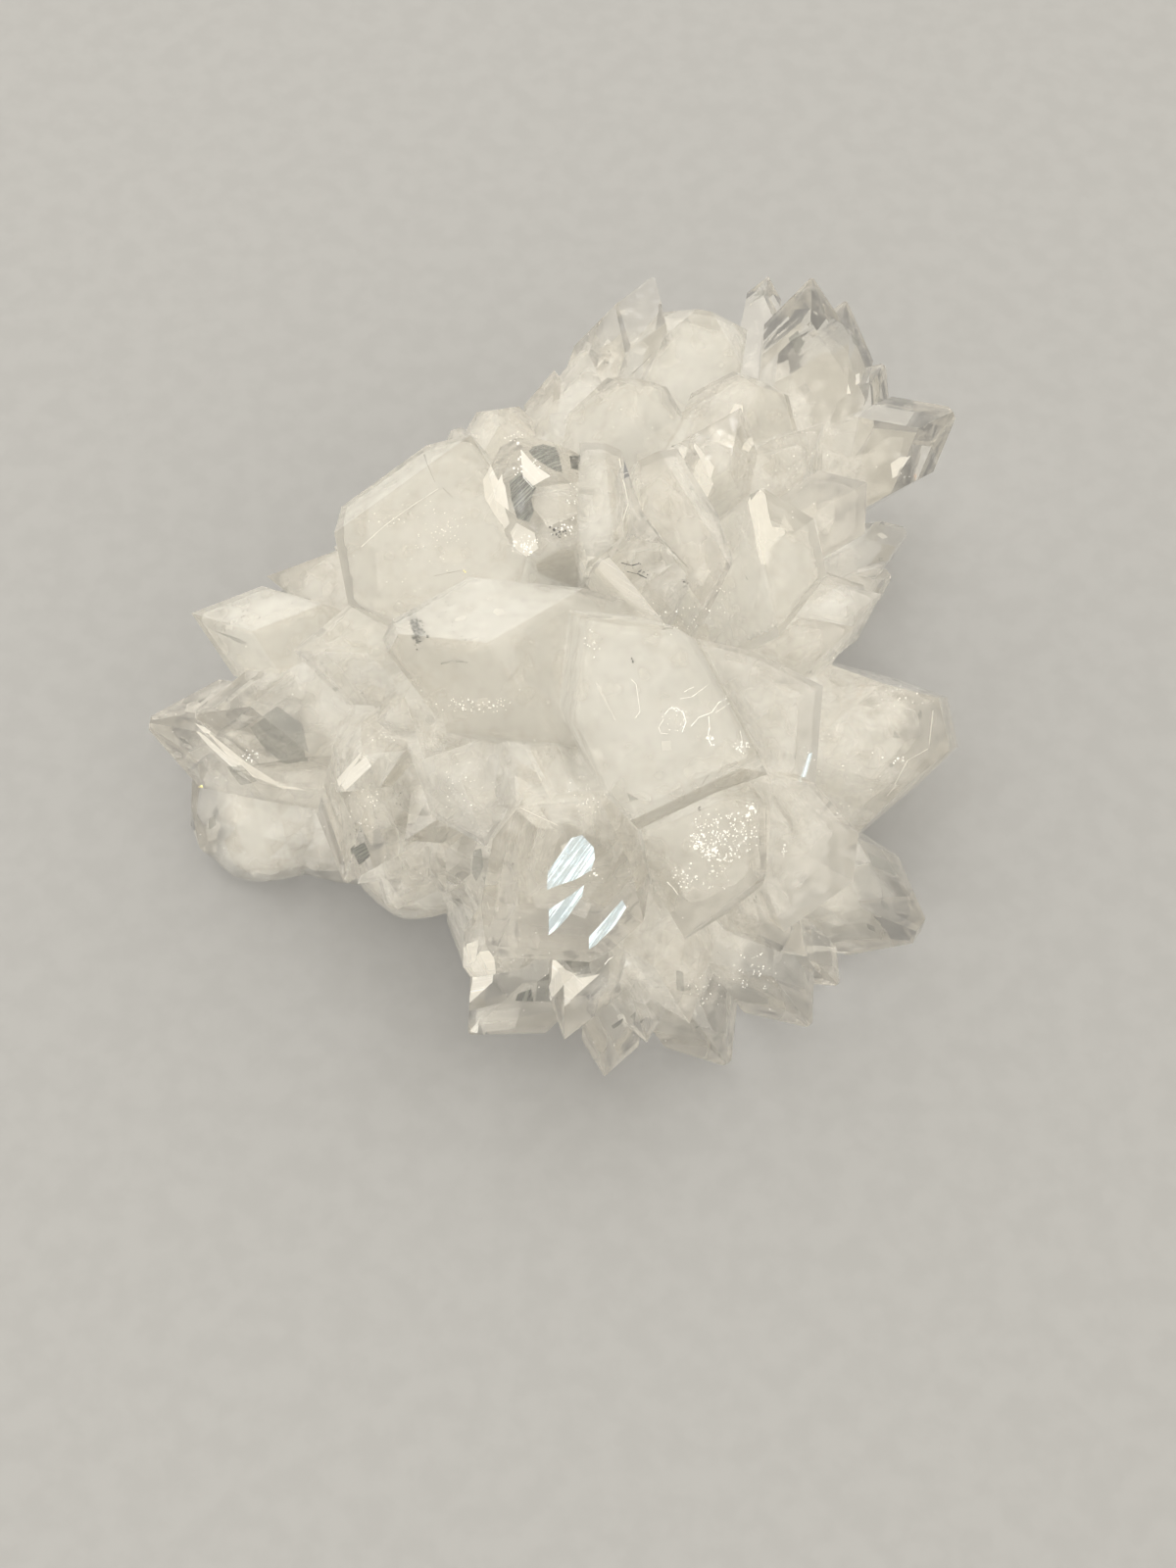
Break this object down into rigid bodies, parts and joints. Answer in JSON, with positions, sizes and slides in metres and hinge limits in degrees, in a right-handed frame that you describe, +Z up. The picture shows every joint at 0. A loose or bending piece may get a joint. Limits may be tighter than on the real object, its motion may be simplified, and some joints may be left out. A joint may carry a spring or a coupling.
{
  "type": "apophyllite crystal cluster",
  "caption": "Free-standing cluster of clear apophyllite crystals, grown together and radiating from a small flat resting spot.",
  "frame": {"origin": "middle of the bounding box's footprint, on the plane of the flat resting spot", "axes": "+Z up from the flat spot, +X to the right and +Y away from the viewer as the cluster is seen in the picture"},
  "size_m": [0.1109, 0.1129, 0.0595],
  "materials": {
    "clear_crystal": "clear to milky apophyllite with flat lustrous faces, fine growth striations and internal veils"
  },
  "bodies": {
    "root": {"crystal_cluster": "clear_crystal"}
  },
  "joints": []
}
